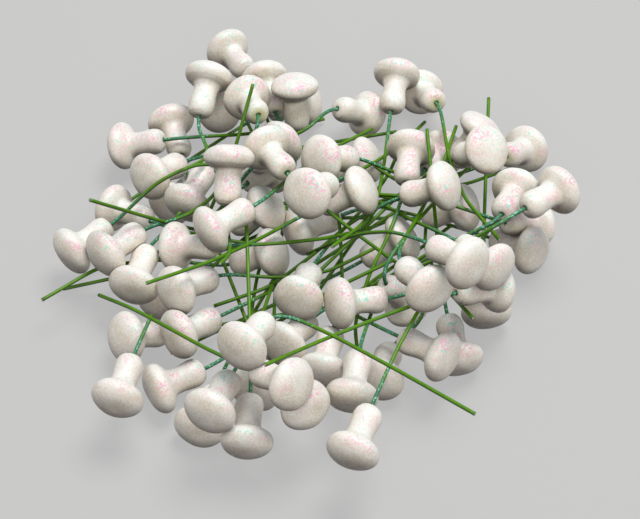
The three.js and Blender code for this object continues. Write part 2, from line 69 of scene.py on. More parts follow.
PICKS = [
    ((266, 208), (234, 228), "ring", "tip", (90, 200)),
    ((298, 232), (338, 216), "ring", "tip", (428, 173)),
    ((360, 190), (322, 206), "ring", "way", (180, 262)),
    ((366, 160), (328, 174), "ring", "way", (220, 262)),
    ((162, 300), (178, 272), "ring", "tip", (253, 84)),
    ((256, 388), (272, 360), "ring", "way", (372, 215)),
    ((486, 312), (484, 272), "ring", "tip", (489, 85)),
    ((496, 287), (457, 293), "foot", "tip", (263, 366)),
    ((408, 304), (386, 284), "foot", "tip", (512, 117)),
    ((428, 288), (404, 266), "ring", "tip", (459, 117)),
    ((272, 170), (248, 183), "foot", "tip", (63, 289)),
    ((281, 143), (254, 166), "foot", "way", (200, 230)),
    ((306, 100), (270, 112), "ring", "way", (150, 190)),
    ((443, 152), (425, 170), "foot", "way", (300, 290)),
    ((200, 425), (214, 392), "ring", "way", (300, 230)),
    ((304, 404), (282, 384), "ring", "way", (275, 200)),
    ((284, 344), (310, 320), "ring", "tip", (538, 197)),
    ((379, 378), (391, 349), "ring", "way", (440, 180)),
    ((170, 202), (196, 182), "ring", "way", (360, 140)),
    ((134, 284), (148, 250), "ring", "way", (240, 130)),
    ((218, 110), (232, 96), "ring", "way", (300, 190)),
    ((171, 121), (181, 155), "foot", "way", (250, 330)),
    ((113, 208), (150, 221), "foot", "way", (330, 262)),
    ((128, 337), (164, 333), "ring", "way", (370, 300)),
    ((227, 49), (247, 72), "foot", "tip", (415, 169)),
    ((123, 146), (163, 140), "foot", "tip", (324, 119)),
    ((73, 250), (108, 227), "ring", "way", (270, 150)),
    ((118, 396), (132, 360), "ring", "way", (195, 215)),
    ((160, 388), (202, 370), "ring", "way", (330, 290)),
    ((247, 440), (250, 398), "ring", "way", (246, 205)),
    ((176, 247), (216, 246), "foot", "way", (400, 215)),
    ((180, 334), (216, 318), "ring", "way", (355, 235)),
    ((323, 370), (332, 332), "ring", "tip", (452, 225)),
    ((341, 303), (384, 299), "ring", "tip", (527, 186)),
    ((463, 208), (425, 217), "ring", "way", (240, 250)),
    ((492, 266), (460, 244), "ring", "way", (330, 170)),
    ((535, 225), (505, 222), "foot", "way", (310, 215)),
    ((516, 190), (502, 214), "foot", "way", (395, 300)),
    ((526, 149), (506, 157), "foot", "way", (370, 212)),
    ((480, 130), (455, 163), "ring", "tip", (475, 344)),
    ((421, 92), (436, 103), "foot", "tip", (510, 268)),
    ((367, 114), (338, 109), "foot", "way", (250, 135)),
    ((264, 78), (275, 112), "foot", "way", (340, 290)),
    ((247, 98), (258, 115), "foot", "way", (185, 255)),
    ((322, 160), (352, 158), "ring", "way", (470, 180)),
    ((411, 148), (406, 182), "foot", "way", (375, 330)),
    ((458, 358), (448, 318), "ring", "tip", (427, 129)),
    ((266, 148), (286, 172), "foot", "tip", (450, 296)),
    ((151, 176), (181, 163), "ring", "tip", (331, 146)),
    ((209, 77), (199, 115), "foot", "way", (160, 240)),
    ((295, 88), (297, 127), "ring", "tip", (272, 334)),
    ((397, 74), (391, 111), "foot", "tip", (318, 285)),
    ((559, 190), (526, 208), "foot", "way", (400, 285)),
    ((187, 202), (206, 170), "ring", "way", (320, 190)),
    ((229, 158), (227, 204), "ring", "tip", (207, 388)),
    ((107, 253), (140, 232), "ring", "way", (283, 112)),
    ((178, 290), (213, 277), "ring", "tip", (377, 247)),
    ((211, 409), (230, 378), "ring", "way", (300, 215)),
    ((290, 384), (256, 371), "ring", "tip", (99, 295)),
    ((243, 345), (266, 321), "ring", "tip", (475, 414)),
    ((402, 238), (364, 260), "ring", "way", (220, 330)),
    ((442, 186), (405, 196), "ring", "way", (245, 293)),
    ((465, 262), (434, 246), "ring", "way", (300, 262)),
    ((530, 250), (494, 239), "ring", "way", (300, 195)),
    ((485, 150), (460, 156), "ring", "way", (303, 180)),
    ((308, 193), (329, 184), "ring", "tip", (425, 122)),
    ((272, 253), (233, 264), "ring", "tip", (42, 300)),
    ((299, 297), (311, 270), "ring", "way", (372, 185)),
    ((352, 394), (359, 354), "ring", "way", (400, 215)),
    ((354, 449), (370, 410), "ring", "way", (485, 225)),
    ((441, 356), (402, 338), "ring", "way", (270, 275)),
    ((212, 229), (250, 208), "ring", "tip", (372, 129)),
]


def sight(pixel):
    """The line of sight through a pixel, as the way it goes for each mm of depth."""
    across, down = pixel
    line = FORWARD + UPWARD * ((PICTURE_HEIGHT / 2 - down) / FOCAL_PIXELS)
    line[0] += (across - PICTURE_WIDTH / 2) / FOCAL_PIXELS
    return line


def size(vectors):
    return np.sqrt((vectors * vectors).sum(-1))


# Foam mushrooms, laid. Each slides up its line of sight from the surface until it is clear of
# those laid before it, or a little pressed into the one it leans on. Balls that fill a mushroom
# and the start of its wire feel for the touch.

FOOT_HEIGHT = -17.8
SEEN_LENGTH = 16
LAID_OUTLINE = np.array((
    (0, -8.8), (1.7, FOOT_HEIGHT), (3.6, -17.2), (5.1, -14.6), (4.6, -5),
    (7.65, -3), (9, 0), (7.1, 2.6), (3.4, 3.9), (0, 4.2),
))
RIM_BALLS = 8
RIM_BALL_RADIUS, RIM_BALL_OUT = 3.4, 5.6
MIDDLE_BALLS = ((-1.4, 5.5), (-6.2, 4.9), (-9.4, 4.9), (-12.6, 5.1))
WIRE_BALLS = ((-19.4, 1.4), (-22.2, 1.4), (-25, 1.4))
START_OF_WIRE = 25
WIRE_RADIUS = 0.7
WIRE_SEAT = 2.5
CLEARANCE = 0.4
PRESS, LEAST_PRESS, MOST_PRESSED = 1.8, 0.9, 3
PRESSED_FLAT = 0.35

rim_angles = 2 * math.pi * np.arange(RIM_BALLS) / RIM_BALLS
BALLS = np.array(
    [(RIM_BALL_OUT * math.sin(a), 0, RIM_BALL_OUT * math.cos(a)) for a in rim_angles]
    + [(0, height, 0) for height, _ in MIDDLE_BALLS + WIRE_BALLS]
)
BALL_RADII = np.array([RIM_BALL_RADIUS] * RIM_BALLS + [r for _, r in MIDDLE_BALLS + WIRE_BALLS])
IS_WIRE = BALLS[:, 1] < FOOT_HEIGHT


def mushroom_turn(axis):
    """Rows: sideways and level, along the mushroom's axis, and straight below it."""
    side = np.cross((0, 0, 1), axis)
    side /= size(side)
    below = np.cross(side, axis)
    return np.array((side, axis, below / size(below)))


def leaning_mushroom(ring_pixel, foot_pixel, near):
    """The ring's middle, the axis and the way to the eye of a mushroom that looks as listed."""
    ring_sight, foot_sight = sight(ring_pixel), sight(foot_pixel)
    middle = (ring_sight + foot_sight) / 2
    depth = (VIEW_TARGET[2] - EYE[2]) / middle[2]
    across = (ring_sight - foot_sight) * depth
    to_eye = -middle / size(middle)
    hidden = math.sqrt(max(0, SEEN_LENGTH ** 2 - across @ across))
    axis = across + to_eye * (hidden if near == "ring" else -hidden)
    axis /= size(axis)
    return EYE + middle * depth - axis * (FOOT_HEIGHT / 2), axis, to_eye


def reach_below(axis):
    level = math.sqrt(1 - axis[2] ** 2)
    lowest = (LAID_OUTLINE[:, 1] * axis[2] - LAID_OUTLINE[:, 0] * level).min()
    return min(lowest + PRESSED_FLAT, -START_OF_WIRE * axis[2] - 2 * WIRE_RADIUS)


def blocked_stretches(balls, laid, to_eye, gap):
    """Rows of from, to, whether foam meets foam, and the number of the mushroom in the way."""
    foam = ~IS_WIRE[:, None] & ~IS_WIRE
    between = balls[:, None] - laid["balls"]
    reach = BALL_RADII[:, None] + BALL_RADII + np.where(foam, gap, CLEARANCE)
    middle = -(between @ to_eye)
    square = middle ** 2 - (between ** 2).sum(-1) + reach ** 2
    meets = square > 0
    half = np.sqrt(square[meets])
    middle = middle[meets]
    number = np.full(len(half), laid["number"])
    return np.column_stack((middle - half, middle + half, foam[meets], number))


def shortest_slide(stretches):
    slide, last = 0.0, None
    for start, end, _, number in stretches[np.argsort(stretches[:, 0], kind="stable")]:
        if start < slide < end:
            slide, last = end, int(number)
    return slide, last


mushrooms = []
for ring_pixel, foot_pixel, near, end_kind, end_pixel in PICKS:
    ring, axis, to_eye = leaning_mushroom(ring_pixel, foot_pixel, near)
    turn = mushroom_turn(axis)
    ring = ring + to_eye * ((-reach_below(axis) - ring[2]) / to_eye[2])
    balls = BALLS @ turn + ring
    none = np.empty((0, 4))
    blocked = [blocked_stretches(balls, other, to_eye, CLEARANCE) for other in mushrooms]
    slide, under = shortest_slide(np.vstack([none] + blocked))
    clump = []
    if under is not None and len(mushrooms[under]["clump"]) < MOST_PRESSED:
        lower = mushrooms[under]
        blocked[under] = blocked_stretches(balls, lower, to_eye, -PRESS)
        rest, _ = shortest_slide(np.vstack(blocked))
        bites = blocked_stretches(balls, lower, to_eye, -LEAST_PRESS)
        if ((bites[:, 2] == 1) & (bites[:, 0] < rest) & (bites[:, 1] > rest)).any():
            slide, clump = rest, lower["clump"]
    ring = ring + to_eye * slide
    mushrooms.append({
        "number": len(mushrooms), "ring": ring, "axis": axis, "turn": turn, "clump": clump,
        "balls": BALLS @ turn + ring, "seat": ring + axis * (FOOT_HEIGHT + WIRE_SEAT),
        "end_kind": end_kind, "end_pixel": end_pixel,
    })
    clump.append(len(mushrooms))


# Wire stems, laid. Each is stiff florist wire, cut to one length, pushed into its mushroom's
# foot. It leaves straight and takes the least bent way through the heap that its end allows.

WIRE_LENGTH = 80
WIRE_LEAD = 5.5
WIRE_STEPS = 5
WIRE_CLEARANCE = 0.5
WIRE_BITE = 0.8
TABLE_GAP = 0.15
MUSHROOM_REACH = 28
END_HEIGHTS = range(2, 51, 2)
STIFFNESSES = (0.35, 0.2, 0.08)
SWINGS = (0, 6, -6, 12, -12, 18, -18)
HUMPS = (0, 8, -8, 16)
SHARES = (1, 0.85, 0.7, 0.55, 0.4, 0.25)
POINTS_A_STEP = 8
LOOSE_COST, SIGHT_COST = 40, 18
COVER_COST, TIP_COVER_COST = 6, 2
STRAY_COST, MISPLACED_COST = 40, 120
TRIES_AT_ONCE = 256
MAP_MARGIN = 8
CUBE_HALF_DIAGONAL = math.sqrt(3) / 2
NOBODYS, SHARED = -1, -2

RINGS = np.array([mushroom["ring"] for mushroom in mushrooms])
ALL_BALLS = np.array([mushroom["balls"] for mushroom in mushrooms])
BENDS = np.array([(f, s, h) for f in STIFFNESSES for s in SWINGS for h in HUMPS], float)


def wire_tries(mushroom):
    """Every end and bend that a wire could take and what each costs, the likeliest first."""
    seat, tip = mushroom["seat"], mushroom["end_kind"] == "tip"
    line = sight(mushroom["end_pixel"])
    onward = seat - mushroom["axis"] * WIRE_LENGTH
    ends = []
    for height in END_HEIGHTS:
        end = EYE + line * ((height - EYE[2]) / line[2])
        reach = size(end - seat)
        if not tip or reach > WIRE_LENGTH:
            end = seat + (end - seat) * (WIRE_LENGTH / reach)
            end[2] = height
        ends += [end, np.array((onward[0], onward[1], height))]
    strays = np.array([0, MISPLACED_COST if tip else STRAY_COST] * len(END_HEIGHTS))
    bent = np.abs(BENDS[:, 1]) + np.abs(BENDS[:, 2])
    ends = np.array([seat + (np.array(ends) - seat) * share for share in SHARES])
    missing = np.abs(size(ends - seat) - WIRE_LENGTH) + strays
    missing[1:] += MISPLACED_COST if tip else 0
    costs = (missing[..., None] + bent).ravel()
    order = np.argsort(costs, kind="stable")
    return costs[order], ends.reshape(-1, 3)[order // len(BENDS)], BENDS[order % len(BENDS)]


def wire_routes(mushroom, ends, bends):
    """The corners of each wire: its seat, the end of its lead, and steps along its curve."""
    axis = mushroom["axis"]
    lead = mushroom["seat"] - axis * WIRE_LEAD
    chord = ends - lead
    straight = lead - axis * (bends[:, :1] * size(chord)[:, None])
    aside = np.column_stack((chord[:, 1], -chord[:, 0], np.zeros(len(chord))))
    bend = (straight + ends) / 2 + aside / size(aside)[:, None] * bends[:, 1:2]
    bend[:, 2] += bends[:, 2]
    t = np.arange(1, WIRE_STEPS) / (WIRE_STEPS - 1)
    shares = np.array(((1 - t) ** 3, 3 * (1 - t) ** 2 * t, 3 * (1 - t) * t * t, t ** 3))
    held = np.stack((np.broadcast_to(lead, ends.shape), straight, bend, ends), 1)
    curve = np.einsum("st,nsx->ntx", shares, held)
    start = np.broadcast_to(np.array((mushroom["seat"], lead)), (len(ends), 2, 3))
    return np.concatenate((start, curve), 1)


def whose_foam():
    """For each small cube of the heap, whose mushroom surely keeps a wire out of it."""
    corner = ALL_BALLS.min((0, 1)) - MAP_MARGIN
    cubes = np.full(np.ceil(ALL_BALLS.max((0, 1)) + MAP_MARGIN - corner).astype(int), NOBODYS)
    for number, balls in enumerate(ALL_BALLS):
        for centre, radius in zip(balls - corner, BALL_RADII):
            reach = radius + WIRE_RADIUS + WIRE_CLEARANCE - CUBE_HALF_DIAGONAL
            spans = [slice(int(c - reach), int(c + reach) + 1) for c in centre]
            middles = np.stack(np.mgrid[tuple(spans)], -1) + 0.5
            inside = size(middles - centre) < reach
            here = cubes[tuple(spans)]
            here[inside & (here != NOBODYS) & (here != number)] = SHARED
            here[inside & (here == NOBODYS)] = number
    return corner, cubes


def points_along(routes):
    steps = np.arange(POINTS_A_STEP)[:, None] / POINTS_A_STEP
    starts = routes[:, :-1, None]
    points = (starts + (routes[:, 1:, None] - starts) * steps).reshape(len(routes), -1, 3)
    return np.concatenate((points, routes[:, -1:]), 1)


def maybe_clear(points, mushroom):
    """Which wires stay above the surface and, as far as the small cubes tell, out of the foam."""
    cube = np.clip((points - FOAM_CORNER).astype(int), 0, np.array(FOAM_CUBES.shape) - 1)
    whose = FOAM_CUBES[cube[..., 0], cube[..., 1], cube[..., 2]]
    unclaimed = ((whose == NOBODYS) | (whose == mushroom["number"])).all(1)
    return unclaimed & (points[..., 2] >= WIRE_RADIUS + TABLE_GAP).all(1)


def keeps_clear(points, mushroom):
    """Which wires keep clear of every mushroom."""
    number = mushroom["number"]
    near = size(points[:, :, None] - RINGS) < MUSHROOM_REACH
    near[:, :POINTS_A_STEP, number] = False
    route, point, other = np.nonzero(near)
    room = BALL_RADII + (WIRE_RADIUS + WIRE_CLEARANCE)
    hit = size(points[route, point][:, None] - ALL_BALLS[other]) < room
    hit[other == number] &= ~IS_WIRE
    keeps = np.ones(len(points), bool)
    keeps[route[hit.any(1)]] = False
    return keeps


def seen_at(points):
    """Where in the picture points show, and how deep they lie behind it."""
    away = points - EYE
    depth = away @ FORWARD
    across = PICTURE_WIDTH / 2 + away[..., 0] / depth * FOCAL_PIXELS
    down = PICTURE_HEIGHT / 2 - (away @ UPWARD) / depth * FOCAL_PIXELS
    return np.floor(across + 0.5).astype(int), np.floor(down + 0.5).astype(int), depth


def depth_picture():
    """How deep the nearest mushroom lies behind each pixel of the view."""
    depths = np.full((PICTURE_HEIGHT, PICTURE_WIDTH), np.inf)
    for balls in ALL_BALLS:
        for centre, radius in zip(balls, BALL_RADII):
            across, down, depth = seen_at(centre)
            reach = math.ceil(radius / depth * FOCAL_PIXELS) + 1
            rows = np.arange(max(down - reach, 0), min(down + reach + 1, PICTURE_HEIGHT))
            columns = np.arange(max(across - reach, 0), min(across + reach + 1, PICTURE_WIDTH))
            up = ((PICTURE_HEIGHT / 2 - rows) / FOCAL_PIXELS)[:, None, None]
            lines = FORWARD + UPWARD * up + np.zeros((len(columns), 1))
            lines[..., 0] += (columns - PICTURE_WIDTH / 2) / FOCAL_PIXELS
            away = centre - EYE
            along, length = lines @ away, (lines ** 2).sum(-1)
            square = along ** 2 - length * (away @ away - radius ** 2)
            front = (along - np.sqrt(np.maximum(square, 0))) / length
            here = depths[rows[0]:rows[-1] + 1, columns[0]:columns[-1] + 1]
            np.minimum(here, np.where(square > 0, front, np.inf), out=here)
    return depths


def in_front(points):
    """How far points lie in front of the nearest mushroom behind them; below zero if hidden."""
    across, down, depth = seen_at(points)
    down, across = np.clip(down, 0, PICTURE_HEIGHT - 1), np.clip(across, 0, PICTURE_WIDTH - 1)
    return MUSHROOM_DEPTHS[down, across] - depth


def rests(route, others):
    """Whether a wire comes so near to a stretch of one of the others that it rests on it."""
    a, c = route[:-1, None], others[:, :-1].reshape(1, -1, 3)
    ab, cd, between = route[1:, None] - a, others[:, 1:].reshape(1, -1, 3) - c, a - c
    abab, cdcd, abcd = (ab * ab).sum(-1), (cd * cd).sum(-1), (ab * cd).sum(-1)
    ab_between, cd_between = (ab * between).sum(-1), (cd * between).sum(-1)
    spread = abab * cdcd - abcd * abcd
    across = abcd * cd_between - cdcd * ab_between
    s = np.where(spread > 0, np.clip(across / np.where(spread > 0, spread, 1), 0, 1), 0)
    t = np.clip((abcd * s + cd_between) / cdcd, 0, 1)
    s = np.clip((abcd * t - ab_between) / abab, 0, 1)
    return (size(a + ab * s[..., None] - c - cd * t[..., None]) < WIRE_BITE).any()


def lay_wire(mushroom, others):
    """The wire that is nearest to whole with little bend, rests on another, passes in front of
    few mushrooms and shows its end only where it did."""
    best_cost, best = math.inf, None
    tip = mushroom["end_kind"] == "tip"
    costs, ends, bends = wire_tries(mushroom)
    for start in range(0, len(costs), TRIES_AT_ONCE):
        if costs[start] >= best_cost:
            break
        some = slice(start, start + TRIES_AT_ONCE)
        routes = wire_routes(mushroom, ends[some], bends[some])
        points = points_along(routes)
        fronts = in_front(points)
        covering = ((fronts > 0) & (fronts < np.inf)).sum(1)
        whole = costs[some] + np.where((fronts[:, -1] > 0) == tip, 0, SIGHT_COST)
        whole += (TIP_COVER_COST if tip else COVER_COST) * covering
        hopeful = np.flatnonzero(maybe_clear(points, mushroom) & (whole < best_cost))
        hopeful = hopeful[keeps_clear(points[hopeful], mushroom)]
        for k, cost in zip(hopeful, whole[hopeful]):
            if costs[start + k] >= best_cost:
                break
            if cost < best_cost and not rests(routes[k], others):
                cost += LOOSE_COST
            if cost < best_cost:
                best_cost, best = cost, routes[k]
    return best


MUSHROOM_DEPTHS = depth_picture()
FOAM_CORNER, FOAM_CUBES = whose_foam()
wires = np.empty((0, WIRE_STEPS + 1, 3))
for mushroom in mushrooms:
    wires = np.vstack((wires, [lay_wire(mushroom, wires)]))
for k, mushroom in enumerate(mushrooms):
    others = np.delete(wires, k, 0)
    if not rests(wires[k], others):
        wires[k] = lay_wire(mushroom, others)


# Foam mushrooms, as moulded: a domed cap with a soft rim, a stem with a bulb at its foot and the
# hole that the wire goes up. Where two are pressed together, each gives way by half. Sizes are
# in millimetres, and new_piece turns them into metres.

MM = 0.001
MUSHROOM_SIDES = 56
OUTLINE_POINTS = (
    (0, 4.2), (2.6, 4.05), (5.3, 3.4), (7.5, 2.2), (8.8, 0.6), (9.05, -1.0), (8.4, -2.6),
    (6.9, -3.8), (5.3, -4.8), (4.55, -6.4), (4.55, -9.0), (4.9, -12.0), (4.95, -13.9),
    (4.45, -15.8), (3.35, -17.1), (2.0, -17.7), (1.1, -17.65), (0.74, -17.0), (0.72, -15.5),
    (0, -14.8),
)
POINTS_BETWEEN = 4
UNEVENNESS = 0.16
WAVES = 9
SHORTEST_WAVE, LONGEST_WAVE = 7, 22
EVEN_FOOT = 1
FOOT_ROUNDING = 4
TOUCH_GAP = 0.03
TOUCH_MARGIN = 2
TINY = 1e-6


def smooth_outline(points, between):
    """A curve through all the points, as [radius, height]."""
    p = np.array(points, float)
    p = np.vstack((2 * p[0] - p[1], p, 2 * p[-1] - p[-2]))
    steps = np.arange(between)[:, None] / between
    spans = []
    for k in range(1, len(p) - 2):
        a, b, c, d = p[k - 1:k + 3]
        spans.append(0.5 * (
            2 * b + (c - a) * steps + (2 * a - 5 * b + 4 * c - d) * steps ** 2
            + (3 * b - a - 3 * c + d) * steps ** 3
        ))
    curve = np.vstack(spans + [p[-2:-1]])
    curve[:, 0] = np.maximum(curve[:, 0], 0)
    curve[0, 0] = 0
    return curve


def turned_mesh(outline, sides):
    """Vertices and faces of an outline turned about its height, with a point at either end."""
    angles = 2 * math.pi * np.arange(sides) / sides
    radius, height = outline[1:-1, :1], outline[1:-1, 1:]
    flat = np.ones(sides)
    rings = np.stack((radius * np.sin(angles), height * flat, radius * np.cos(angles)), -1)
    ends = [(0, outline[0, 1], 0), (0, outline[-1, 1], 0)]
    vertices = np.vstack((rings.reshape(-1, 3), ends))
    count = len(outline) - 2
    first, last = count * sides, count * sides + 1
    faces = []
    for k in range(sides):
        m = (k + 1) % sides
        faces.append((first, k, m))
        faces.append((last, (count - 1) * sides + m, (count - 1) * sides + k))
        for row in range(count - 1):
            low, high = row * sides, (row + 1) * sides
            faces.append((low + k, high + k, high + m, low + m))
    return vertices, faces


def unevenness(vertices, random):
    """How far moulded foam stands off its true shape: a few soft waves laid over each other."""
    ways = random.normal(size=(WAVES, 3))
    ways /= size(ways)[:, None]
    lengths = random.uniform(SHORTEST_WAVE, LONGEST_WAVE, WAVES)
    phases = random.uniform(0, 2 * math.pi, WAVES)
    waves = np.sin(vertices @ (ways * (2 * math.pi / lengths)[:, None]).T + phases)
    return waves.sum(1) * (UNEVENNESS / math.sqrt(WAVES))


def depth_inside(points, outline):
    """How deep points lie inside the outline, as [radius, height], and the way out."""
    a, b = outline[:-1], outline[1:]
    along = b - a
    t = np.clip(((points[:, None] - a) * along).sum(-1) / (along * along).sum(-1), 0, 1)
    out = a + along * t[..., None] - points[:, None]
    gaps = size(out)
    nearest = gaps.argmin(1)
    rows = np.arange(len(points))
    way = out[rows, nearest]
    crossings = (a[:, 1] > points[:, 1:]) != (b[:, 1] > points[:, 1:])
    lean = np.where(along[:, 1] == 0, 1, along[:, 1])
    reach = a[:, 0] + along[:, 0] * (points[:, 1:] - a[:, 1]) / lean
    inside = ((crossings & (points[:, :1] < reach)).sum(1) % 2) == 1
    return np.where(inside, gaps[rows, nearest], 0), way


def give_way(vertices, other, outline):
    """Moves the vertices that lie inside another mushroom half of the way out of it."""
    local = (vertices - other["ring"]) @ other["turn"].T
    radius = np.hypot(local[:, 0], local[:, 2])
    reach = np.hypot(radius, local[:, 1] - FOOT_HEIGHT / 2)
    near = np.flatnonzero(reach < START_OF_WIRE / 2 + TOUCH_MARGIN)
    points = np.column_stack((radius[near], local[near, 1]))
    depth, way = depth_inside(points, outline)
    inside = depth > 0
    near, way, depth = near[inside], way[inside], depth[inside]
    share = (0.5 * depth + TOUCH_GAP) / np.maximum(depth, TINY)
    outward = local[near][:, [0, 2]] / np.maximum(radius[near], TINY)[:, None]
    push = way * share[:, None]
    aside, along = push[:, 0], push[:, 1]
    local_push = np.column_stack((outward[:, 0] * aside, along, outward[:, 1] * aside))
    vertices[near] += local_push @ other["turn"]


def new_piece(name, vertices, faces, material):
    mesh = bpy.data.meshes.new(name)
    mesh.from_pydata((vertices * MM).tolist(), [], faces)
    mesh.materials.append(material)
    mesh.shade_smooth()
    piece = bpy.data.objects.new(name, mesh)
    bpy.context.scene.collection.objects.link(piece)
    return piece


def new_material(name):
    """A material with nodes, its tree and its shader."""
    material = bpy.data.materials.new(name)
    material.use_nodes = True
    tree = material.node_tree
    return material, tree, tree.nodes["Principled BSDF"]


def add_node(tree, kind, inputs=(), **settings):
    """A node with its settings; each input is a value or another node's socket."""
    node = tree.nodes.new("ShaderNode" + kind)
    for name, value in settings.items():
        setattr(node, name, value)
    for name, value in dict(inputs).items():
        if isinstance(value, bpy.types.NodeSocket):
            tree.links.new(value, node.inputs[name])
        else:
            node.inputs[name].default_value = value
    return node


def mixed(tree, share, first, second, blend="MIX"):
    """The colour between two, by a share."""
    inputs = {0: share, 6: first, 7: second}
    return add_node(tree, "Mix", inputs, data_type="RGBA", blend_type=blend).outputs[2]


def facing(tree, way, low, high):
    """Nought where a surface is turned from a way and one where it faces it."""
    normal = add_node(tree, "NewGeometry").outputs["Normal"]
    lit = add_node(tree, "VectorMath", {0: normal, 1: way}, operation="DOT_PRODUCT")
    span = add_node(tree, "MapRange", {
        "Value": lit.outputs["Value"], "From Min": low, "From Max": high,
    }, interpolation_type="SMOOTHSTEP")
    return span.outputs["Result"]


# The coat on the foam: creamy white, with clear pearl glitter glued all over. Its flakes are
# under half a millimetre. Light and shade are painted into its colour: it is drawn paler, toward
# pearl, where it faces the lamp; pink and, in places, teal glints on the flakes and a soft pink
# sheen are painted where the surface faces halfway between the lamp and the eye; and painted
# shade darkens it where it is turned from the lamp.

CREAM = (0.76, 0.68, 0.565, 1)
PEARL = (0.96, 0.955, 0.92, 1)
TAN = (0.52, 0.42, 0.32, 1)
SHADED = (0.09, 0.07, 0.055, 1)
WHITE = (1, 1, 1, 1)
# The colour of a painted pink sheen.
PAINTED_SHEEN_PINK = (0.92, 0.72, 0.68, 1)
PINK = (0.90, 0.42, 0.60, 1)
TEAL = (0.20, 0.86, 0.70, 1)
STAIN = (0.42, 0.46, 0.08, 1)
FLAKES_A_METRE = 2300
GLINTS_A_METRE = 1600
PEARL_PATCHES_A_METRE = 160
PINK_PATCHES_A_METRE = 95
TEAL_PATCHES_A_METRE = 120
FLAKE_RELIEF = 0.0002
# The lamp's way, by which painted light and shade are laid on the coats, and the way halfway
# between the lamp and the eye, where the painted glints show.
LIGHT_WAY = Vector((0.22, 0.42, 0.88)).normalized()
GLINT_WAY = Vector((0.15, -0.2, 0.97)).normalized()


def glitter_coat():
    material, tree, shader = new_material("glittered_foam")
    place = add_node(tree, "TexCoord").outputs["Object"]
    flakes = add_node(tree, "TexVoronoi", {"Vector": place, "Scale": FLAKES_A_METRE})
    chance = add_node(tree, "SeparateColor", {"Color": flakes.outputs["Color"]})
    glints = add_node(tree, "TexVoronoi", {"Vector": place, "Scale": GLINTS_A_METRE})
    glint_chance = add_node(tree, "SeparateColor", {"Color": glints.outputs["Color"]})

    def patches(scale, low, high):
        noise = add_node(tree, "TexNoise", {"Vector": place, "Scale": scale, "Detail": 2.0})
        span = add_node(tree, "MapRange", {
            "Value": noise.outputs["Fac"], "From Min": low, "From Max": high,
        })
        return span.outputs["Result"]

    def times(first, second):
        return add_node(tree, "Math", {0: first, 1: second}, operation="MULTIPLY").outputs[0]

    def flake_share(socket, low, high):
        """One for the flakes whose chance lies between two values, and else nought."""
        over = add_node(tree, "Math", {0: socket, 1: low}, operation="GREATER_THAN").outputs[0]
        under = add_node(tree, "Math", {0: socket, 1: high}, operation="LESS_THAN").outputs[0]
        return times(over, under)

    # Painted light: the coat is drawn from cream to pearl where it faces the lamp.
    colour = mixed(tree, facing(tree, LIGHT_WAY, 0.25, 0.9), CREAM, PEARL)
    colour = mixed(tree, times(patches(PEARL_PATCHES_A_METRE, 0.35, 0.65), 0.5), colour, PEARL)
    colour = mixed(tree, times(flake_share(chance.outputs["Red"], 0.0, 0.2), 0.22), colour, TAN)
    colour = mixed(tree, times(flake_share(chance.outputs["Red"], 0.2, 0.4), 0.45), colour, PEARL)
    # Painted glints and sheen: the glitter flakes are real, but the pink wash and the pink and
    # teal flakes show only where the surface faces halfway between the lamp and the eye.
    glinting = facing(tree, GLINT_WAY, 0.55, 0.98)
    painted_sheen = times(times(patches(PINK_PATCHES_A_METRE, 0.4, 0.62), glinting), 0.4)
    colour = mixed(tree, painted_sheen, colour, PAINTED_SHEEN_PINK)
    painted_pink_glints = times(times(patches(PINK_PATCHES_A_METRE, 0.46, 0.66), glinting), 0.8)
    painted_pink_glints = times(painted_pink_glints, flake_share(glint_chance.outputs["Green"], 0.0, 0.4))
    colour = mixed(tree, painted_pink_glints, colour, PINK)
    painted_teal_glints = times(times(patches(TEAL_PATCHES_A_METRE, 0.35, 0.6), glinting), 0.7)
    painted_teal_glints = times(painted_teal_glints, flake_share(glint_chance.outputs["Blue"], 0.0, 0.12))
    colour = mixed(tree, painted_teal_glints, colour, TEAL)
    stain = add_node(tree, "Attribute", attribute_name="stain").outputs["Fac"]
    colour = mixed(tree, stain, colour, STAIN)
    # Painted shade: the colour is drawn darker, down to SHADED, where the foam is turned from the
    # lamp.
    shade = mixed(tree, facing(tree, LIGHT_WAY, -0.72, 0.12), SHADED, WHITE)
    colour = mixed(tree, 1.0, colour, shade, "MULTIPLY")
    tree.links.new(colour, shader.inputs["Base Color"])
    gloss = add_node(tree, "MapRange", {
        "Value": chance.outputs["Green"], "To Min": 0.28, "To Max": 0.75,
    })
    tree.links.new(gloss.outputs["Result"], shader.inputs["Roughness"])
    tilt = add_node(tree, "Bump", {
        "Height": chance.outputs["Red"], "Strength": 0.15, "Distance": FLAKE_RELIEF,
    })
    tree.links.new(tilt.outputs["Normal"], shader.inputs["Normal"])
    shader.inputs["Coat Weight"].default_value = 0.15
    shader.inputs["Coat Roughness"].default_value = 0.3
    shader.inputs["Sheen Weight"].default_value = 0.1
    return material


STAIN_REACH = 2.6
STAIN_SPREAD = 1.6
STAINED_SHARE = 0.3
FAINTEST_STAIN, DEEPEST_STAIN = 0.3, 0.85


def stain_amount(vertices, random):
    """The wire's coat has rubbed off round some of the holes, within a few mm."""
    reach = size(vertices - (0, FOOT_HEIGHT, 0))
    stained = random.random() < STAINED_SHARE
    strength = random.uniform(FAINTEST_STAIN, DEEPEST_STAIN) if stained else 0
    return strength * np.clip(STAIN_SPREAD - reach / STAIN_REACH, 0, 1)


foam_coat = glitter_coat()
foam_outline = smooth_outline(OUTLINE_POINTS, POINTS_BETWEEN)
foam_vertices, foam_faces = turned_mesh(foam_outline, MUSHROOM_SIDES)
middle_heights = np.clip(foam_vertices[:, 1:2], FOOT_HEIGHT + FOOT_ROUNDING, 0)
foam_normals = foam_vertices - (0, 1, 0) * middle_heights
foam_normals /= np.maximum(size(foam_normals), TINY)[:, None]
node_of = {}
for node_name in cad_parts:
    for number in node_name.split("_")[1:]:
        if node_name.startswith("mushroom"):
            node_of[int(number) - 1] = node_name

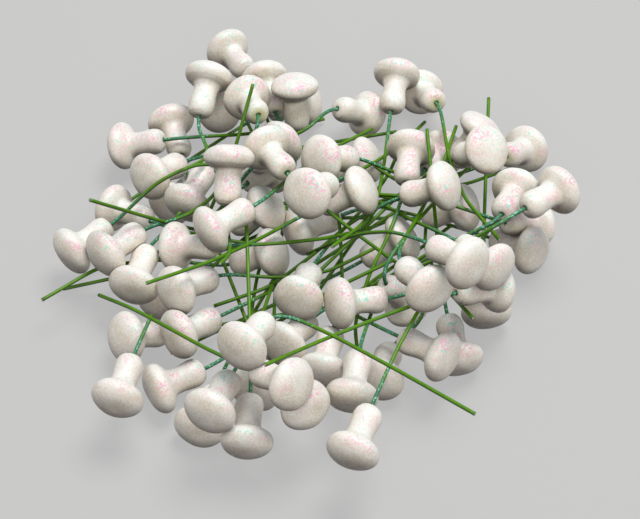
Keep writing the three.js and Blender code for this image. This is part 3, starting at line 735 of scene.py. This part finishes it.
low_corner, high_corner = (np.array(corner) / MM for corner in part_box)
for mushroom in mushrooms:
    number = mushroom["number"]
    random = np.random.default_rng(number)
    uneven = foam_vertices[:, 1] > FOOT_HEIGHT + EVEN_FOOT
    swell = unevenness(foam_vertices, random) * uneven
    shaped = foam_vertices + foam_normals * (swell - UNEVENNESS)[:, None]
    vertices = shaped @ mushroom["turn"] + mushroom["ring"]
    for other in mushrooms:
        if other is not mushroom and size(other["ring"] - mushroom["ring"]) < 2 * START_OF_WIRE:
            give_way(vertices, other, foam_outline)
    vertices = np.clip(vertices, low_corner, high_corner)
    piece = new_piece(f"foam_mushroom_{number + 1:02d}", vertices, foam_faces, foam_coat)
    stain = piece.data.attributes.new("stain", "FLOAT", "POINT")
    stain.data.foreach_set("value", stain_amount(foam_vertices, random).astype(np.float32))
    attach(piece, "root")
    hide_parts(node_of[number])


# Wire stems, as drawn and coated: round steel wire in a leaf green coat, cut off square. The
# first stretch by the mushroom caught some of the wet glitter and looks teal. Painted shade
# darkens the coat where it is turned from the lamp.

COATED_RADIUS = 0.66
CORE_RADIUS = 0.42
WIRE_SIDES = 12
WIRE_POINT_GAP = 1.6
SMOOTHINGS = 10
FEWEST_WIRE_POINTS = 8
STREAKS_A_METRE = 260.0
STREAK_RELIEF = 0.0002
SCORES_A_METRE = 4000.0
BRIGHTEST_FLAKES = 0.86
LEAF_GREEN = (0.045, 0.175, 0.004, 1)
LIGHT_GREEN = (0.15, 0.36, 0.010, 1)
GLITTER_GREEN = (0.055, 0.235, 0.11, 1)
GLITTER_TEAL = (0.25, 0.68, 0.48, 1)
STEEL = (0.22, 0.20, 0.18, 1)
GLITTER_END = (0.008, 0.022)


def eased(route):
    """The route with its corners bent round as stiff wire bends, at even steps."""
    lengths = size(np.diff(route, axis=0))
    reach = np.concatenate(((0,), np.cumsum(lengths)))
    points = max(FEWEST_WIRE_POINTS, int(reach[-1] / WIRE_POINT_GAP))
    steps = np.linspace(0, reach[-1], points)
    line = np.column_stack([np.interp(steps, reach, route[:, k]) for k in range(3)])
    for _ in range(SMOOTHINGS):
        line[2:-1] = (line[1:-2] + 2 * line[2:-1] + line[3:]) / 4
    return line


def wire_mesh(line):
    """Rings round the line, and the cut end as a rim of coat about a core of steel."""
    ways = np.gradient(line, axis=0)
    ways /= size(ways)[:, None]
    side = np.cross(ways[0], (0, 0, 1))
    angles = 2 * math.pi * np.arange(WIRE_SIDES) / WIRE_SIDES
    rings = []
    for place, way in zip(line, ways):
        side = side - way * (side @ way)
        side /= size(side)
        up = np.cross(way, side)
        round_ways = np.outer(np.cos(angles), side) + np.outer(np.sin(angles), up)
        rings.append(place + COATED_RADIUS * round_ways)
    core = line[-1] + (rings[-1] - line[-1]) * (CORE_RADIUS / COATED_RADIUS)
    vertices = np.vstack(rings + [core])
    faces, last = [], len(rings) * WIRE_SIDES
    for row in range(len(rings)):
        for k in range(WIRE_SIDES):
            m = (k + 1) % WIRE_SIDES
            low, high = row * WIRE_SIDES, (row + 1) * WIRE_SIDES
            faces.append((low + k, low + m, high + m, high + k))
    faces.append(tuple(last + k for k in range(WIRE_SIDES)))
    faces.append(tuple(reversed(range(WIRE_SIDES))))
    return vertices, faces


def wire_coat():
    material, tree, shader = new_material("green_wire_coat")
    place = add_node(tree, "TexCoord").outputs["Object"]
    streaks = add_node(tree, "TexNoise", {
        "Vector": place, "Scale": STREAKS_A_METRE, "Detail": 3.0,
    })
    colour = mixed(tree, streaks.outputs["Fac"], LEAF_GREEN, LIGHT_GREEN)
    flakes = add_node(tree, "TexVoronoi", {"Vector": place, "Scale": FLAKES_A_METRE})
    chance = add_node(tree, "SeparateColor", {"Color": flakes.outputs["Color"]})
    bright = add_node(tree, "Math", {
        0: chance.outputs["Red"], 1: BRIGHTEST_FLAKES,
    }, operation="GREATER_THAN")
    glitter = mixed(tree, bright.outputs[0], GLITTER_GREEN, GLITTER_TEAL)
    along = add_node(tree, "Attribute", attribute_name="along").outputs["Fac"]
    near_foam = add_node(tree, "MapRange", {
        "Value": along, "From Min": GLITTER_END[0], "From Max": GLITTER_END[1],
        "To Min": 1.0, "To Max": 0.0,
    }).outputs["Result"]
    caught = add_node(tree, "Math", {
        0: near_foam, 1: chance.outputs["Green"],
    }, operation="GREATER_THAN")
    colour = mixed(tree, caught.outputs[0], colour, glitter)
    # Painted shade: the coat is drawn darker where the wire is turned from the lamp.
    shade = mixed(tree, facing(tree, LIGHT_WAY, -0.6, 0.8), SHADED, WHITE)
    colour = mixed(tree, 1.0, colour, shade, "MULTIPLY")
    tree.links.new(colour, shader.inputs["Base Color"])
    tilt = add_node(tree, "Bump", {
        "Height": streaks.outputs["Fac"], "Strength": 0.3, "Distance": STREAK_RELIEF,
    })
    tree.links.new(tilt.outputs["Normal"], shader.inputs["Normal"])
    shader.inputs["Roughness"].default_value = 0.34
    shader.inputs["Specular IOR Level"].default_value = 0.35
    return material


def cut_steel():
    material, tree, shader = new_material("cut_steel")
    place = add_node(tree, "TexCoord").outputs["Object"]
    scores = add_node(tree, "TexNoise", {"Vector": place, "Scale": SCORES_A_METRE})
    colour = mixed(tree, scores.outputs["Fac"], STEEL, PEARL)
    tree.links.new(colour, shader.inputs["Base Color"])
    shader.inputs["Metallic"].default_value = 0.9
    shader.inputs["Roughness"].default_value = 0.4
    return material


stem_vertices, stem_faces, stem_along, steel_faces = [], [], [], []
for route in wires:
    line = eased(route)
    vertices, faces = wire_mesh(line)
    offset = sum(len(some) for some in stem_vertices)
    steel_faces.append(len(stem_faces) + len(faces) - 2)
    stem_faces += [tuple(offset + k for k in face) for face in faces]
    stem_vertices.append(np.clip(vertices, low_corner, high_corner))
    reach = np.concatenate(((0,), np.cumsum(size(np.diff(line, axis=0)))))
    stem_along.append(np.repeat(np.append(reach, reach[-1]), WIRE_SIDES))
wire_stems = new_piece("wire_stems", np.vstack(stem_vertices), stem_faces, wire_coat())
wire_stems.data.materials.append(cut_steel())
for k in steel_faces:
    wire_stems.data.polygons[k].material_index = 1
along = wire_stems.data.attributes.new("along", "FLOAT", "POINT")
along.data.foreach_set("value", (np.concatenate(stem_along) * MM).astype(np.float32))
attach(wire_stems, "root")
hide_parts(*(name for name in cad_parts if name.startswith("wire")))


# The surface that the heap lies on: a wide, plain, pale matt board, lit a little from within so
# that no deep shade falls on it.

BOARD_SIZE = 6
BOARD_DROP = 0.0002
BOARD_GREY = (0.17, 0.17, 0.17, 1)
BOARD_GLOW = 0.41

board_mesh = bpy.data.meshes.new("board")
half = BOARD_SIZE / 2
corners = [(-half, -half, 0), (half, -half, 0), (half, half, 0), (-half, half, 0)]
board_mesh.from_pydata(corners, [], [(0, 1, 2, 3)])
board = bpy.data.objects.new("board", board_mesh)
board.location.z = -BOARD_DROP
bpy.context.scene.collection.objects.link(board)
board_paint, _, board_shader = new_material("board_paint")
board_shader.inputs["Base Color"].default_value = BOARD_GREY
board_shader.inputs["Roughness"].default_value = 0.95
board_shader.inputs["Specular IOR Level"].default_value = 0.1
board_shader.inputs["Emission Color"].default_value = WHITE
board_shader.inputs["Emission Strength"].default_value = BOARD_GLOW
board_mesh.materials.append(board_paint)


# Light: a wide soft lamp overhead, a little behind and to the right, a weaker one in front, and
# a pale room.

LAMP_DISTANCE = 1.2
OVERHEAD_WAY = Vector((0.2, 0.3, 1.0)).normalized()
OVERHEAD_SIZE, OVERHEAD_WATTS = 0.6, 10.5
OVERHEAD_COLOUR = (1.0, 0.98, 0.94)
FRONT_WAY = Vector((-0.1, -1.0, 0.8)).normalized()
FRONT_SIZE, FRONT_WATTS = 0.9, 3.5
FRONT_COLOUR = (1.0, 0.97, 0.92)
ROOM_COLOUR = (0.95, 0.97, 1.0, 1)
ROOM_LIGHT = 0.35


def add_lamp(name, way, lamp_size, watts, colour):
    lamp = bpy.data.lights.new(name, "AREA")
    lamp.shape = "DISK"
    lamp.size = lamp_size
    lamp.energy = watts
    lamp.color = colour
    holder = bpy.data.objects.new(name, lamp)
    holder.location = way * LAMP_DISTANCE
    holder.rotation_euler = way.to_track_quat("Z", "Y").to_euler()
    bpy.context.scene.collection.objects.link(holder)


add_lamp("overhead_lamp", OVERHEAD_WAY, OVERHEAD_SIZE, OVERHEAD_WATTS, OVERHEAD_COLOUR)
add_lamp("front_lamp", FRONT_WAY, FRONT_SIZE, FRONT_WATTS, FRONT_COLOUR)
room = bpy.data.worlds.new("pale_room")
room.use_nodes = True
room.node_tree.nodes["Background"].inputs["Color"].default_value = ROOM_COLOUR
room.node_tree.nodes["Background"].inputs["Strength"].default_value = ROOM_LIGHT
bpy.context.scene.world = room
bpy.context.scene.view_settings.view_transform = "Standard"


# The camera stands where the heap was seen from.

SENSOR = 36.0
camera = bpy.data.cameras.new("camera")
camera.sensor_width = SENSOR
camera.lens = FOCAL_PIXELS / PICTURE_WIDTH * SENSOR
camera.clip_start = 0.01
holder = bpy.data.objects.new("camera", camera)
camera_turn = Matrix(((1, 0, 0), UPWARD, -FORWARD)).transposed().to_4x4()
holder.matrix_world = Matrix.Translation(Vector(EYE * MM)) @ camera_turn
bpy.context.scene.collection.objects.link(holder)
bpy.context.scene.camera = holder
